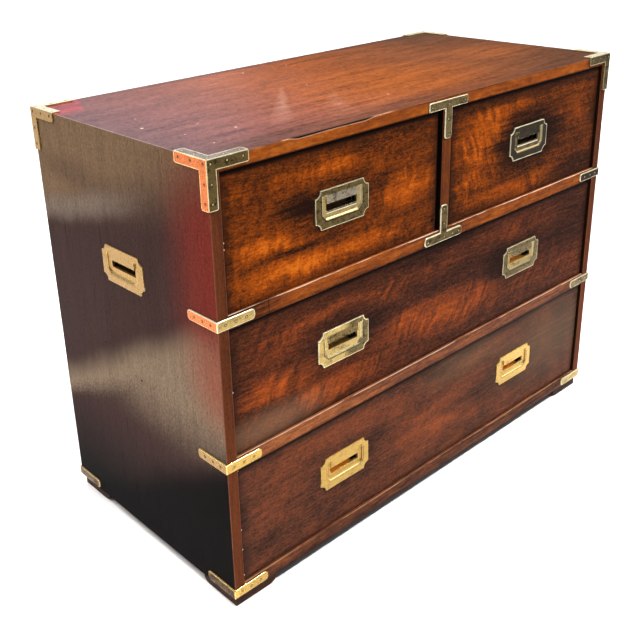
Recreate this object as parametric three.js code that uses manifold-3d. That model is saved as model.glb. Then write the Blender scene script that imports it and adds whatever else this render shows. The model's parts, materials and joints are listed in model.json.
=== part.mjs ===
// Campaign chest: two short drawers over two long ones in a brass-bound mahogany case.
// Millimetres. +X is the viewer's right, -Y the front, +Z up. The origin is on the floor, under the middle.

import * as THREE from 'three';
import { mergeVertices } from 'three/addons/utils/BufferGeometryUtils.js';
import Module from 'manifold-3d';

const wasm = await Module();
wasm.setup();

// Case
const caseWidth = 914;
const caseDepth = 432;
const caseHeight = 664;
const footHeight = 17;
const sideThickness = 18;
const topThickness = 18;
const backThickness = 10;
const boardThickness = 12;
const railHeight = 21;
const railDepth = 60;
const dividerWidth = 21;
const dividerPlace = -2;
const topOpeningHeight = 192;
const seam = 0.15;
const overrun = 5;

// Feet
const footInset = 4;
const footThickness = 20;
const footToe = 64;
const footNose = 77;
const footReach = 88;

// Brass plates
const plateProud = 2.2;
const plateLetIn = 0.8;
const plateClearance = 0.3;
const strapWidth = 15.5;
const strapArm = 62;
const strapEndRadius = 5.5;
const bracketWidth = 13;
const bracketArm = 64;
const bracketEndRadius = 2.5;
const teeBarLength = 91;
const teeStemWidth = 16.5;
const teeTopPlace = -1;
const teeTopDrop = 3;
const teeTopBarWidth = 14;
const teeTopStemLength = 47;
const teeTopRadius = 2;
const teeRailPlace = -4;
const teeRailDrop = 1.75;
const teeRailStemLength = 45;

// Flush pulls, drawn about the plate's middle
const pullWidth = 105;
const pullHeight = 57;
const pullProud = 1.5;
const pullCornerRadius = 10;
const pullDishWidth = 79;
const pullDishTop = 20;
const pullDishBottom = 16;
const pullDishCut = 8;
const pullDishRun = 2.5;
const pullDishDepth = 2.2;
const pullSlotWidth = 61;
const pullSlotTop = 7.6;
const pullSlotBottom = 4.3;
const pullTongueThickness = 3.2;
const pullCupDepth = 11;
const pullCupTop = 14;
const pullWall = 1.5;
const pullSpacing = 449.2;
const pullRise = 1.5;
const sidePullHeight = 478;

// Drawers
const drawerRecess = 4.5;
const drawerSideGap = 1.5;
const drawerDividerGap = 5.5;
const drawerTopGap = 1.8;
const drawerBottomGap = 0.3;
const drawerRearGap = 12;
const frontThickness = 20;
const liningThickness = 11;
const frontLap = 6;
const drawerBottomThickness = 6;
const drawerBottomRaise = 9;
const grooveDepth = 4;
const backDrop = 8;

// How the tails of one drawer corner share its height
const tailCount = 4;
const tailRootShare = 0.5;
const tailTipShare = 0.7;

// Points on a quarter round, counted as steps
const quarterSteps = 5;

// Places worked out from the sizes above
const halfWidth = caseWidth / 2;
const halfDepth = caseDepth / 2;
const caseTop = footHeight + caseHeight;
const topUnderside = caseTop - topThickness;
const innerHalfWidth = halfWidth - sideThickness;
const backFace = halfDepth - backThickness;
const lowerOpeningHeight = (caseHeight - topThickness - topOpeningHeight - 3 * railHeight) / 2;
const railSpacing = railHeight + lowerOpeningHeight;
const railBases = {
  bottom: footHeight,
  lower: footHeight + railSpacing,
  upper: footHeight + 2 * railSpacing,
};
const railTops = {
  bottom: railBases.bottom + railHeight,
  lower: railBases.lower + railHeight,
  upper: railBases.upper + railHeight,
};
const railBack = -halfDepth + railDepth;

// Materials
function material(colour, roughness, metalness) {
  return new THREE.MeshStandardMaterial({ color: colour, roughness, metalness });
}

const finishes = {
  mahogany: material(0x7a3216, 0.28, 0),
  flameMahogany: material(0x6a2c12, 0.25, 0),
  lining: material(0x9a6a3c, 0.6, 0),
  brass: material(0xb9a05c, 0.32, 1),
};

// Solids

function solidOf(geometry) {
  const bare = geometry.clone();
  bare.deleteAttribute('normal');
  bare.deleteAttribute('uv');
  const merged = mergeVertices(bare);
  return new wasm.Manifold(new wasm.Mesh({
    numProp: 3,
    vertProperties: Float32Array.from(merged.attributes.position.array),
    triVerts: Uint32Array.from(merged.index.array),
  }));
}

function geometryOf(solid) {
  const mesh = solid.getMesh();
  const geometry = new THREE.BufferGeometry();
  geometry.setAttribute('position', new THREE.BufferAttribute(mesh.vertProperties, mesh.numProp));
  geometry.setIndex(new THREE.BufferAttribute(mesh.triVerts, 1));
  return geometry;
}

function box(left, right, front, back, low, high) {
  const geometry = new THREE.BoxGeometry(right - left, back - front, high - low);
  return solidOf(geometry.translate((left + right) / 2, (front + back) / 2, (low + high) / 2));
}

function mirrored(solid, signX, signY) {
  const geometry = geometryOf(solid).scale(signX, signY, 1);
  if (signX * signY < 0) {
    const index = geometry.index.array;
    for (let i = 0; i < index.length; i += 3) {
      [index[i], index[i + 1]] = [index[i + 1], index[i]];
    }
  }
  return solidOf(geometry);
}

// Each face of the case has two directions along it and one outwards, and a place on its plane.
const along = {
  x: new THREE.Vector3(1, 0, 0),
  y: new THREE.Vector3(0, 1, 0),
  z: new THREE.Vector3(0, 0, 1),
};
const toFront = along.y.clone().negate();
const toLeft = along.x.clone().negate();
const faces = {
  front: { u: along.x, v: along.z, out: toFront, place: [0, -halfDepth, 0] },
  left: { u: toFront, v: along.z, out: toLeft, place: [-halfWidth, 0, 0] },
  right: { u: along.y, v: along.z, out: along.x, place: [halfWidth, 0, 0] },
  top: { u: along.x, v: along.y, out: along.z, place: [0, 0, caseTop] },
};

function onFace(geometry, face, shift = [0, 0, 0]) {
  const basis = new THREE.Matrix4().makeBasis(face.u, face.v, face.out);
  const place = new THREE.Vector3(...face.place).add(new THREE.Vector3(...shift));
  return solidOf(geometry.clone().applyMatrix4(basis.setPosition(place)));
}

function slab(points, low, high) {
  const outline = new THREE.Shape(points.map(([u, v]) => new THREE.Vector2(u, v)));
  const geometry = new THREE.ExtrudeGeometry(outline, { depth: high - low, bevelEnabled: false });
  return geometry.translate(0, 0, low);
}

// Extrudes an outline drawn across X and Z between two places along Y.
function prismAlongY(points, front, back) {
  const geometry = slab(points, -back, -front);
  return solidOf(geometry.applyMatrix4(new THREE.Matrix4().makeBasis(along.x, along.z, toFront)));
}

// Extrudes an outline drawn along Y and up Z between two places along X.
function prismAlongX(points, left, right) {
  const geometry = slab(points, left, right);
  return solidOf(geometry.applyMatrix4(new THREE.Matrix4().makeBasis(along.y, along.z, along.x)));
}

function arc(centreU, centreV, radiusU, radiusV, startDegrees, endDegrees) {
  const points = [];
  for (let step = 0; step <= quarterSteps; step += 1) {
    const degrees = THREE.MathUtils.lerp(startDegrees, endDegrees, step / quarterSteps);
    const angle = THREE.MathUtils.degToRad(degrees);
    points.push([centreU + radiusU * Math.cos(angle), centreV + radiusV * Math.sin(angle)]);
  }
  return points;
}

// Brass plates let into the case. Each one is also made a little larger, to cut its own pocket.

function armOutline(from, to, low, high, radius) {
  const sign = Math.sign(to - from);
  const centre = to - sign * radius;
  return [
    [from, low],
    ...arc(centre, low + radius, sign * radius, radius, -90, 0),
    ...arc(centre, high - radius, sign * radius, radius, 0, 90),
    [from, high],
  ];
}

function uprightOutline(from, to, low, high, radius) {
  return armOutline(from, to, low, high, radius).map(([v, u]) => [u, v]);
}

function leaf(faceName, outline, grow) {
  const bottom = grow > 0 ? -plateLetIn - seam : -plateLetIn;
  const outside = grow > 0 ? overrun : plateProud;
  return onFace(slab(outline, bottom, outside), faces[faceName]);
}

// A strap round the front left corner, with one arm on the front and one on the side.
function cornerStrap(level, grow) {
  const low = level - strapWidth / 2 - grow;
  const high = level + strapWidth / 2 + grow;
  const outside = grow > 0 ? overrun : plateProud;
  const radius = strapEndRadius + grow;
  const frontArm = armOutline(-halfWidth - outside, -halfWidth + strapArm + grow, low, high, radius);
  const sideArm = armOutline(halfDepth + outside, halfDepth - strapArm - grow, low, high, radius);
  return leaf('front', frontArm, grow).add(leaf('left', sideArm, grow));
}

// A bracket over the front left top corner, with an L on each of its three faces.
function cornerBracket(grow) {
  const outside = grow > 0 ? overrun : plateProud;
  const width = bracketWidth + grow;
  const reach = bracketArm + grow;
  const radius = bracketEndRadius + grow;
  const high = caseTop + outside;
  const left = -halfWidth - outside;
  const front = -halfDepth - outside;
  const leaves = [
    leaf('front', armOutline(left, -halfWidth + reach, caseTop - width, high, radius), grow),
    leaf('front', uprightOutline(high, caseTop - reach, left, -halfWidth + width, radius), grow),
    leaf('left', armOutline(-front, halfDepth - reach, caseTop - width, high, radius), grow),
    leaf('left', uprightOutline(high, caseTop - reach, halfDepth - width, -front, radius), grow),
    leaf('top', armOutline(left, -halfWidth + reach, front, -halfDepth + width, radius), grow),
    leaf('top', uprightOutline(front, -halfDepth + reach, left, -halfWidth + width, radius), grow),
  ];
  return leaves.reduce((whole, next) => whole.add(next));
}

// A T on the front, its bar between two heights and its stem up or down the divider to a given end.
function teeStrap({ place, low, high, end, radius }, grow) {
  const halfBar = teeBarLength / 2 + grow;
  const halfStem = teeStemWidth / 2 + grow;
  const stemEnd = end + Math.sign(end - low) * grow;
  const stem = uprightOutline(
    (low + high) / 2, stemEnd, place - halfStem, place + halfStem, strapEndRadius + grow,
  );
  const arms = [place - halfBar, place + halfBar].map((armEnd) => leaf(
    'front', armOutline(place, armEnd, low - grow, high + grow, radius + grow), grow,
  ));
  return arms.reduce((whole, arm) => whole.add(arm), leaf('front', stem, grow));
}

const strapLevels = {
  upper: railBases.upper + railHeight / 2,
  lower: railBases.lower + railHeight / 2,
  bottom: railBases.bottom + railHeight / 2,
};
const sides = { left: 1, right: -1 };
const plates = [];
const pockets = [];

function addPlate(name, make) {
  plates.push([name, make(0)]);
  pockets.push(make(plateClearance));
}

for (const [side, signX] of Object.entries(sides)) {
  for (const [end, signY] of Object.entries({ front: 1, back: -1 })) {
    addPlate(`corner_bracket_${end}_${side}`, (grow) => mirrored(cornerBracket(grow), signX, signY));
  }
  for (const [level, height] of Object.entries(strapLevels)) {
    addPlate(`strap_${level}_${side}`, (grow) => mirrored(cornerStrap(height, grow), signX, 1));
  }
  addPlate(`strap_back_${side}`, (grow) => mirrored(cornerStrap(strapLevels.bottom, grow), signX, -1));
}

const teeTopHigh = caseTop - teeTopDrop;
const teeTopLow = teeTopHigh - teeTopBarWidth;
const teeRailLow = strapLevels.upper - strapWidth / 2 - teeRailDrop;
const teeRailHigh = teeRailLow + strapWidth;
const tees = {
  tee_strap_top: {
    place: teeTopPlace,
    low: teeTopLow,
    high: teeTopHigh,
    end: teeTopLow - teeTopStemLength,
    radius: teeTopRadius,
  },
  tee_strap_rail: {
    place: teeRailPlace,
    low: teeRailLow,
    high: teeRailHigh,
    end: teeRailHigh + teeRailStemLength,
    radius: strapEndRadius,
  },
};
for (const [name, shape] of Object.entries(tees)) {
  addPlate(name, (grow) => teeStrap(shape, grow));
}

// Flush pulls

function pullPlateOutline(grow) {
  const halfU = pullWidth / 2 + grow;
  const halfV = pullHeight / 2 + grow;
  const radius = pullCornerRadius;
  return [
    ...arc(-halfU, halfV, radius, radius, 0, -90),
    ...arc(-halfU, -halfV, radius, radius, 90, 0),
    ...arc(halfU, -halfV, radius, radius, 180, 90),
    ...arc(halfU, halfV, radius, radius, 270, 180),
  ];
}

function rectangle(half, low, high) {
  return [[-half, low], [half, low], [half, high], [-half, high]];
}

// The dish's outline, with its two lower corners cut off, moved in by an inset.
function dishOutline(inset) {
  const half = pullDishWidth / 2 - inset;
  const low = inset - pullDishBottom;
  const high = pullDishTop - inset;
  const cut = pullDishCut - inset * (2 - Math.SQRT2);
  return [
    [-half + cut, low], [half - cut, low], [half, low + cut],
    [half, high], [-half, high], [-half, low + cut],
  ];
}

// A block that tapers from one outline to another with as many corners as it goes in.
function taper(outer, outerLevel, inner, innerLevel) {
  const corners = [
    ...inner.map(([u, v]) => [u, v, innerLevel]),
    ...outer.map(([u, v]) => [u, v, outerLevel]),
  ];
  const count = inner.length;
  const index = [];
  for (let corner = 0; corner < count; corner += 1) {
    const next = (corner + 1) % count;
    index.push(corner, next, count + next, corner, count + next, count + corner);
    if (corner > 0 && next > 0) {
      index.push(0, next, corner, count, count + corner, count + next);
    }
  }
  const geometry = new THREE.BufferGeometry();
  geometry.setAttribute('position', new THREE.Float32BufferAttribute(corners.flat(), 3));
  geometry.setIndex(index);
  return geometry;
}

// The plate is sunk to a shallow dish. A tongue comes down over it from above, level with the plate, and
// leaves a slot for the fingers, with a cup behind it.
function flushPull(face, shift) {
  const slotHalf = pullSlotWidth / 2;
  const cupRoof = Math.max(pullCupTop, pullSlotTop);
  const shell = taper(
    rectangle(pullDishWidth / 2 + pullWall, -pullDishBottom - pullWall, pullDishTop + pullWall), 0,
    rectangle(slotHalf + pullWall, -pullSlotBottom - pullWall, cupRoof + pullWall), -pullCupDepth - pullWall,
  );
  const dish = taper(
    dishOutline(0), pullProud, dishOutline(pullDishRun), pullProud - pullDishDepth,
  );
  const cup = slab(rectangle(slotHalf, -pullSlotBottom, cupRoof), -pullCupDepth, pullProud);
  const tongue = slab(
    rectangle(slotHalf, pullSlotTop, pullDishTop + pullWall), pullProud - pullTongueThickness, pullProud,
  );
  const place = (geometry) => onFace(geometry, face, shift);
  return place(slab(pullPlateOutline(0), -plateLetIn, pullProud))
    .add(place(shell))
    .subtract(place(dish))
    .subtract(place(cup))
    .add(place(tongue));
}

// The hole that a pull needs: a shallow bed for its plate and a mortise for its cup.
function pullMortise(face, shift) {
  const half = pullDishWidth / 2 + pullWall + plateClearance;
  const low = -pullDishBottom - pullWall - plateClearance;
  const high = pullDishTop + pullWall + plateClearance;
  const depth = -pullCupDepth - pullWall - plateClearance;
  const place = (geometry) => onFace(geometry, face, shift);
  return place(slab(pullPlateOutline(plateClearance), -plateLetIn - seam, overrun))
    .add(place(slab(rectangle(half, low, high), depth, 0)));
}

const sidePullShift = [0, 0, sidePullHeight];

// Case

const casePieces = [];

function addCasePiece(name, solid) {
  const cut = pockets.reduce((rest, pocket) => rest.subtract(pocket), solid);
  casePieces.push([name, cut]);
}

// The top and the sides meet in mitres, so that no end grain shows.
addCasePiece('top_panel', prismAlongY([
  [-halfWidth + seam, caseTop],
  [-innerHalfWidth + seam, topUnderside],
  [innerHalfWidth - seam, topUnderside],
  [halfWidth - seam, caseTop],
], -halfDepth, halfDepth));
for (const [side, signX] of Object.entries(sides)) {
  const panel = prismAlongY([
    [-halfWidth, footHeight],
    [-innerHalfWidth, footHeight],
    [-innerHalfWidth, topUnderside - seam],
    [-halfWidth, caseTop - seam],
  ], -halfDepth, halfDepth);
  const mortise = pullMortise(faces[side], sidePullShift);
  addCasePiece(`side_panel_${side}`, mirrored(panel, signX, 1).subtract(mortise));
}
addCasePiece('back_panel', box(
  -innerHalfWidth + seam, innerHalfWidth - seam, backFace, halfDepth, footHeight, topUnderside - seam,
));
for (const level of ['bottom', 'lower', 'upper']) {
  addCasePiece(`rail_${level}`, box(
    -innerHalfWidth + seam, innerHalfWidth - seam, -halfDepth, railBack, railBases[level], railTops[level],
  ));
}
const boardLevels = { bottom_board: 'bottom', dust_board_lower: 'lower', dust_board_upper: 'upper' };
for (const [name, level] of Object.entries(boardLevels)) {
  addCasePiece(name, box(
    -innerHalfWidth + seam, innerHalfWidth - seam, railBack + seam, backFace - seam,
    railTops[level] - boardThickness, railTops[level],
  ));
}
const dividerLeft = dividerPlace - dividerWidth / 2;
const dividerRight = dividerPlace + dividerWidth / 2;
const dividerRuns = {
  divider_post: [-halfDepth, railBack],
  drawer_partition: [railBack + seam, backFace - seam],
};
for (const [name, [front, back]] of Object.entries(dividerRuns)) {
  addCasePiece(name, box(
    dividerLeft, dividerRight, front, back, railTops.upper + seam, topUnderside - seam,
  ));
}

// Feet: two low wings that meet at the corner, each with an ogee end.

function wingOutline(corner) {
  const bulge = footNose - footToe;
  const cove = footReach - footNose;
  const bulgeHeight = footHeight / 2;
  const coveHeight = footHeight - seam - bulgeHeight;
  return [
    [corner, 0],
    ...arc(corner + footToe, bulgeHeight, bulge, bulgeHeight, -90, 0),
    ...arc(corner + footReach, bulgeHeight, -cove, coveHeight, 0, 90),
    [corner, footHeight - seam],
  ];
}

function foot() {
  const front = -halfDepth + footInset;
  const left = -halfWidth + footInset;
  const frontWing = wingOutline(left);
  const sideWing = wingOutline(front);
  return prismAlongY(frontWing, front, front + footThickness)
    .add(prismAlongX(sideWing, left, left + footThickness));
}

const feet = [];
for (const [side, signX] of Object.entries(sides)) {
  for (const [end, signY] of Object.entries({ front: 1, back: -1 })) {
    feet.push([`foot_${end}_${side}`, mirrored(foot(), signX, signY)]);
  }
}

// Drawers

function tailOutline(height, index, grow) {
  const pitch = height / tailCount;
  const centre = pitch * (index + 1 / 2);
  const root = (pitch * tailRootShare) / 2 + grow;
  const tip = (pitch * tailTipShare) / 2 + grow;
  const shoulder = frontThickness + seam;
  const end = frontLap - grow;
  return [[shoulder, centre + root], [end, centre + tip], [end, centre - tip], [shoulder, centre - root]];
}

// The drawer's front face stands at the recess, and its box reaches back to the rear gap.
function drawer({ name, left, right, low, high, pulls }) {
  const height = high - low;
  const front = -halfDepth + drawerRecess;
  const length = caseDepth - drawerRecess - backThickness - drawerRearGap;
  const shoulder = frontThickness + seam;
  const toWorld = ([y, z]) => [front + y, low + z];
  const tails = [...Array(tailCount).keys()].reverse();
  const bottomLow = low + drawerBottomRaise;
  const bottomHigh = bottomLow + drawerBottomThickness;
  const grooveLow = bottomLow - seam;
  const grooveHigh = bottomHigh + seam;
  const innerLeft = left + liningThickness;
  const innerRight = right - liningThickness;
  const grooveLeft = innerLeft - grooveDepth;
  const grooveRight = innerRight + grooveDepth;
  const rear = front + length;
  const rearFaceOfFront = front + frontThickness;
  const groove = box(
    grooveLeft, grooveRight, rearFaceOfFront - grooveDepth, rear + overrun, grooveLow, grooveHigh,
  );

  let frontBoard = box(left, right, front, rearFaceOfFront, low, high).subtract(groove);
  for (const index of tails) {
    const socket = tailOutline(height, index, seam).map(toWorld);
    frontBoard = frontBoard
      .subtract(prismAlongX(socket, left - overrun, innerLeft + seam))
      .subtract(prismAlongX(socket, innerRight - seam, right + overrun));
  }
  const face = { ...faces.front, place: [0, front, 0] };
  const shifts = pulls.map((place) => [place, 0, (low + high) / 2 + pullRise]);
  for (const shift of shifts) {
    frontBoard = frontBoard.subtract(pullMortise(face, shift));
  }

  const sideOutline = [
    [shoulder, 0], [length, 0], [length, height], [shoulder, height],
    ...tails.flatMap((index) => tailOutline(height, index, 0)),
  ].map(toWorld);
  const pieces = [
    [`${name}_front`, finishes.flameMahogany, frontBoard],
    [`${name}_side_left`, finishes.lining, prismAlongX(sideOutline, left, innerLeft).subtract(groove)],
    [`${name}_side_right`, finishes.lining, prismAlongX(sideOutline, innerRight, right).subtract(groove)],
    [`${name}_back`, finishes.lining, box(
      innerLeft + seam, innerRight - seam, rear - liningThickness, rear, grooveHigh, high - backDrop,
    )],
    [`${name}_bottom`, finishes.lining, box(
      grooveLeft + seam, grooveRight - seam, rearFaceOfFront - grooveDepth + seam, rear,
      bottomLow, bottomHigh,
    )],
  ];
  const pullSolids = shifts.map((shift) => flushPull(face, shift));
  const pullNames = shifts.length > 1 ? [`${name}_pull_left`, `${name}_pull_right`] : [`${name}_pull`];
  pullSolids.forEach((solid, index) => pieces.push([pullNames[index], finishes.brass, solid]));
  return pieces;
}

// A drawer's room in its opening. The short drawers have shrunk away from the divider.
function room(leftWall, rightWall, base, ceiling) {
  return {
    left: leftWall + (leftWall < 0 ? drawerSideGap : drawerDividerGap),
    right: rightWall - (rightWall > 0 ? drawerSideGap : drawerDividerGap),
    low: base + drawerBottomGap,
    high: ceiling - drawerTopGap,
  };
}

const pullPlace = pullSpacing / 2;
const drawers = [
  {
    name: 'drawer_top_left',
    ...room(-innerHalfWidth, dividerLeft, railTops.upper, topUnderside),
    pulls: [-pullPlace],
  },
  {
    name: 'drawer_top_right',
    ...room(dividerRight, innerHalfWidth, railTops.upper, topUnderside),
    pulls: [pullPlace],
  },
  {
    name: 'drawer_middle',
    ...room(-innerHalfWidth, innerHalfWidth, railTops.lower, railBases.upper),
    pulls: [-pullPlace, pullPlace],
  },
  {
    name: 'drawer_bottom',
    ...room(-innerHalfWidth, innerHalfWidth, railTops.bottom, railBases.lower),
    pulls: [-pullPlace, pullPlace],
  },
];

// The whole chest

const chest = new THREE.Group();

function addMesh(name, finish, solid) {
  const mesh = new THREE.Mesh(geometryOf(solid), finish);
  mesh.name = name;
  chest.add(mesh);
}

for (const [name, solid] of [...casePieces, ...feet]) {
  addMesh(name, finishes.mahogany, solid);
}
for (const [name, solid] of plates) {
  addMesh(name, finishes.brass, solid);
}
for (const side of Object.keys(sides)) {
  addMesh(`side_pull_${side}`, finishes.brass, flushPull(faces[side], sidePullShift));
}
for (const piece of drawers.flatMap(drawer)) {
  addMesh(...piece);
}

export default chest;
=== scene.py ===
# Looks of the campaign chest: mahogany boards with a flame figure, aged brass and its pins.
# Metres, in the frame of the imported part: +X to the viewer's right, -Y the front, +Z up.

import json
import math

import bmesh
import bpy
from mathutils import Matrix, Vector

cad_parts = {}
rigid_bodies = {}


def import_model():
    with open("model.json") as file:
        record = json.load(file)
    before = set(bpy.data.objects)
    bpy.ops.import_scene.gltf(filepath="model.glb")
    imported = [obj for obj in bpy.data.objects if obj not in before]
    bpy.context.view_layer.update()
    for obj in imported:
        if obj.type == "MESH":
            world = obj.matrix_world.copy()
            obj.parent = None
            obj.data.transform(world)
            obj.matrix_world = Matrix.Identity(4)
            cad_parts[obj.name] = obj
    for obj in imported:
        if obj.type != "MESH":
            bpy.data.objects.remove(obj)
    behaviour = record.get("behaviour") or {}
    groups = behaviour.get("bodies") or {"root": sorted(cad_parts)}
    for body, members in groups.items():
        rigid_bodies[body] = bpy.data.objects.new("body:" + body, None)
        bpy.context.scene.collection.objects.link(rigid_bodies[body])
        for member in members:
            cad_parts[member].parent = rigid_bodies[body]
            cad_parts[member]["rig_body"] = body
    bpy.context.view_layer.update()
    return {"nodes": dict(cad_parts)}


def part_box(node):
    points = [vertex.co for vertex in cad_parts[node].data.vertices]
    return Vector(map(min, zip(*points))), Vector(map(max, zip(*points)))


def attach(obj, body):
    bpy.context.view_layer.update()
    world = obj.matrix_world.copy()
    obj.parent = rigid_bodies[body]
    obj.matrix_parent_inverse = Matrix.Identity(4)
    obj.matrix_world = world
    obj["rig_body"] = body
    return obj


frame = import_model()

MM = 0.001

# Camera, fitted to the photograph's corners, straps and pulls
PHOTO_SIZE = 640
FOCAL_PIXELS = 909.39
CENTRE_PIXEL = (289.72, 252.89)
CAMERA_PLACE = Vector((-1.07764, -1.05671, 0.98204))
CAMERA_RIGHT = Vector((0.73817, -0.6739, -0.03091))
CAMERA_BACK = Vector((-0.61627, -0.69226, 0.37548))
SENSOR_WIDTH = 36.0

# Studio: a key light from the front right, whose pool ends a little in front of the chest, broad panels over
# the floor behind and left of it, a low card that only the top mirrors, and spots that keep the floor white.
# Each has its power, colour, place and target. After them a spot has its angle in degrees, its blend and its
# radius, and a panel the length of its side.
LIGHTS = {
    "key": (980.0, (1.0, 0.97, 0.92), (1.55, -1.72, 3.6), (-0.2, 0.3, 0.0), (38.0, 0.45, 0.16)),
    "broad_panel": (500.0, (0.96, 0.97, 1.0), (2.3, 4.6, 7.0), (2.3, 4.6, 6.0), 6.0),
    "left_fill": (135.0, (1.0, 0.97, 0.94), (-1.9, 1.5, 3.2), (-1.0, 0.9, 0.0), 2.0),
    "far_panel": (420.0, (1.0, 0.99, 0.97), (5.5, 6.5, 6.0), (5.5, 6.5, 0.0), 5.0),
    "low_card": (8.0, (0.84, 0.9, 1.0), (2.1, 4.0, 2.3), (-0.34, 0.0, 0.68), 1.5),
    "floor": (480.0, (1.0, 1.0, 1.0), (-1.22, -0.2, 4.0), (-1.22, -0.2, 0.0), (23.5, 0.2, 0.1)),
    "side": (620.0, (0.98, 0.98, 1.0), (2.9, 1.6, 4.0), (2.5, 1.3, 0.0), (54.0, 1.0, 0.3)),
}
# The panels that reflections don't see
UNREFLECTED = ("left_fill", "far_panel")

# Directions
LEFT, RIGHT = (-1.0, 0.0, 0.0), (1.0, 0.0, 0.0)
FRONT, BACK = (0.0, -1.0, 0.0), (0.0, 1.0, 0.0)
UP = (0.0, 0.0, 1.0)

# Main places of the case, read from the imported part
CASE_LOW, CASE_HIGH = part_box("side_panel_left")
CASE_FRONT = CASE_LOW.y
CASE_BACK = CASE_HIGH.y
CASE_LEFT = CASE_LOW.x
CASE_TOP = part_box("top_panel")[1].z
CASE_HALF = -CASE_LEFT
CASE_DEPTH = CASE_BACK - CASE_FRONT
PULL_NODES = [name for name in frame["nodes"] if "_pull" in name]
BRACKET_NODES = [name for name in frame["nodes"] if name.startswith("corner_bracket")]
STRAP_NODES = [name for name in frame["nodes"] if name.startswith("strap")]
TEE_NODES = [name for name in frame["nodes"] if name.startswith("tee_strap")]


# Node trees. Each call adds a node and gives back its output as a Value, and takes Values or plain values.


def maths(operation, swapped=False):
    """An operator of Value, which adds a maths node."""

    def method(self, other):
        pair = (other, self) if swapped else (self, other)
        return self.tree.math(operation, *pair)

    return method


class Value:
    """A node's output. A sum, difference, product or quotient of Values is a Value too."""

    def __init__(self, tree, socket):
        self.tree = tree
        self.socket = socket

    __add__ = maths("ADD")
    __radd__ = maths("ADD", swapped=True)
    __sub__ = maths("SUBTRACT")
    __rsub__ = maths("SUBTRACT", swapped=True)
    __mul__ = maths("MULTIPLY")
    __rmul__ = maths("MULTIPLY", swapped=True)
    __truediv__ = maths("DIVIDE")

    def __abs__(self):
        return self.tree.math("ABSOLUTE", self)

    def mix(self, share, other):
        """This colour with a share of another over it."""
        return self.tree.blend(share, self, other)


class Tree:
    def __init__(self, name):
        self.material = bpy.data.materials.new(name)
        self.material.use_nodes = True
        self.nodes = self.material.node_tree.nodes
        self.links = self.material.node_tree.links
        self.shader = self.nodes["Principled BSDF"]

    def put(self, value, socket):
        if isinstance(value, Value):
            self.links.new(value.socket, socket)
        elif value is not None:
            socket.default_value = (*value, 1.0) if socket.type == "RGBA" and len(value) == 3 else value

    def add(self, kind, inputs, output=0, **settings):
        """A node of a kind, with values for its inputs by number or name, and its own settings."""
        node = self.nodes.new("ShaderNode" + kind)
        for key, setting in settings.items():
            setattr(node, key, setting)
        for key, value in inputs.items():
            self.put(value, node.inputs[key])
        return Value(self, node.outputs[output])

    def coordinate(self, kind="Object"):
        return self.add("TexCoord", {}, kind)

    def math(self, operation, *values):
        return self.add("Math", dict(enumerate(values)), operation=operation)

    def least(self, first, *others):
        for other in others:
            first = self.math("MINIMUM", first, other)
        return first

    def most(self, first, *others):
        for other in others:
            first = self.math("MAXIMUM", first, other)
        return first

    def vector(self, operation, first, second=None):
        output = "Value" if operation in ("LENGTH", "DOT_PRODUCT", "DISTANCE") else "Vector"
        return self.add("VectorMath", {0: first, 1: second}, output, operation=operation)

    def split(self, vector):
        first = self.add("SeparateXYZ", {0: vector})
        return [Value(self, socket) for socket in first.socket.node.outputs]

    def join(self, x, y, z=0.0):
        return self.add("CombineXYZ", {0: x, 1: y, 2: z})

    def noise(self, place, scale, detail=2.0, roughness=0.5, output="Fac"):
        """Noise from 0 to 1, with one scale or with one for each axis."""
        if isinstance(scale, tuple):
            place, scale = self.vector("MULTIPLY", place, scale), 1.0
        inputs = {"Vector": place, "Scale": scale, "Detail": detail, "Roughness": roughness}
        return self.add("TexNoise", inputs, output)

    def jitter(self, place, scale, reach):
        """A move to and fro by noise, of up to half of the reach along each axis."""
        offset = self.vector("SUBTRACT", self.noise(place, scale, output="Color"), (0.5, 0.5, 0.5))
        return self.vector("MULTIPLY", offset, reach)

    def span(self, value, low, high, to_low=0.0, to_high=1.0, kind="SMOOTHSTEP"):
        """One level up to low, another from high on, and a smooth step between them."""
        inputs = dict(enumerate((value, low, high, to_low, to_high)))
        return self.add("MapRange", inputs, interpolation_type=kind)

    def fall(self, value, low, high, strength=1.0):
        """A strength up to low, and nought from high on."""
        return self.span(value, low, high, strength, 0.0)

    def blend(self, share, first, second, kind="MIX"):
        return self.add("Mix", {"Factor": share, 6: first, 7: second}, 2, data_type="RGBA", blend_type=kind)

    def toned(self, colour, tone):
        """A colour made darker or lighter by a factor."""
        return self.blend(1.0, colour, self.join(tone, tone, tone), "MULTIPLY")

    def ramp(self, value, stops, kind="LINEAR"):
        node = self.nodes.new("ShaderNodeValToRGB")
        node.color_ramp.interpolation = kind
        elements = node.color_ramp.elements
        while len(elements) < len(stops):
            elements.new(0.5)
        for element, (place, colour) in zip(elements, stops):
            element.position = place
            element.color = (*colour, 1.0)
        self.put(value, node.inputs[0])
        return Value(self, node.outputs["Color"])

    def curve(self, value, low, high, stops):
        """A smooth curve through stops of (value, level), for a value between low and high."""
        levels = [((place - low) / (high - low), (level, level, level)) for place, level in stops]
        return self.ramp(self.span(value, low, high, kind="LINEAR"), levels, "EASE")

    def bump(self, height, distance, strength):
        return self.add("Bump", {"Strength": strength, "Distance": distance, "Height": height})

    def finish(self, colour, roughness, normal=None, metallic=0.0, specular=0.5):
        inputs = self.shader.inputs
        self.put(colour, inputs["Base Color"])
        self.put(roughness, inputs["Roughness"])
        self.put(normal, inputs["Normal"])
        self.put(metallic, inputs["Metallic"])
        self.put(specular, inputs["Specular IOR Level"])
        return self.material


# Wood

AXES = {"x": (0, 1, 2), "y": (1, 0, 2), "z": (2, 0, 1)}


def along_grain(tree, place, grain, shift):
    """The place with the grain's direction first, moved by a shift so that no two boards are alike."""
    parts = tree.split(place)
    first, second, third = AXES[grain]
    return tree.vector("ADD", tree.join(parts[first], parts[second], parts[third]), shift)


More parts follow.
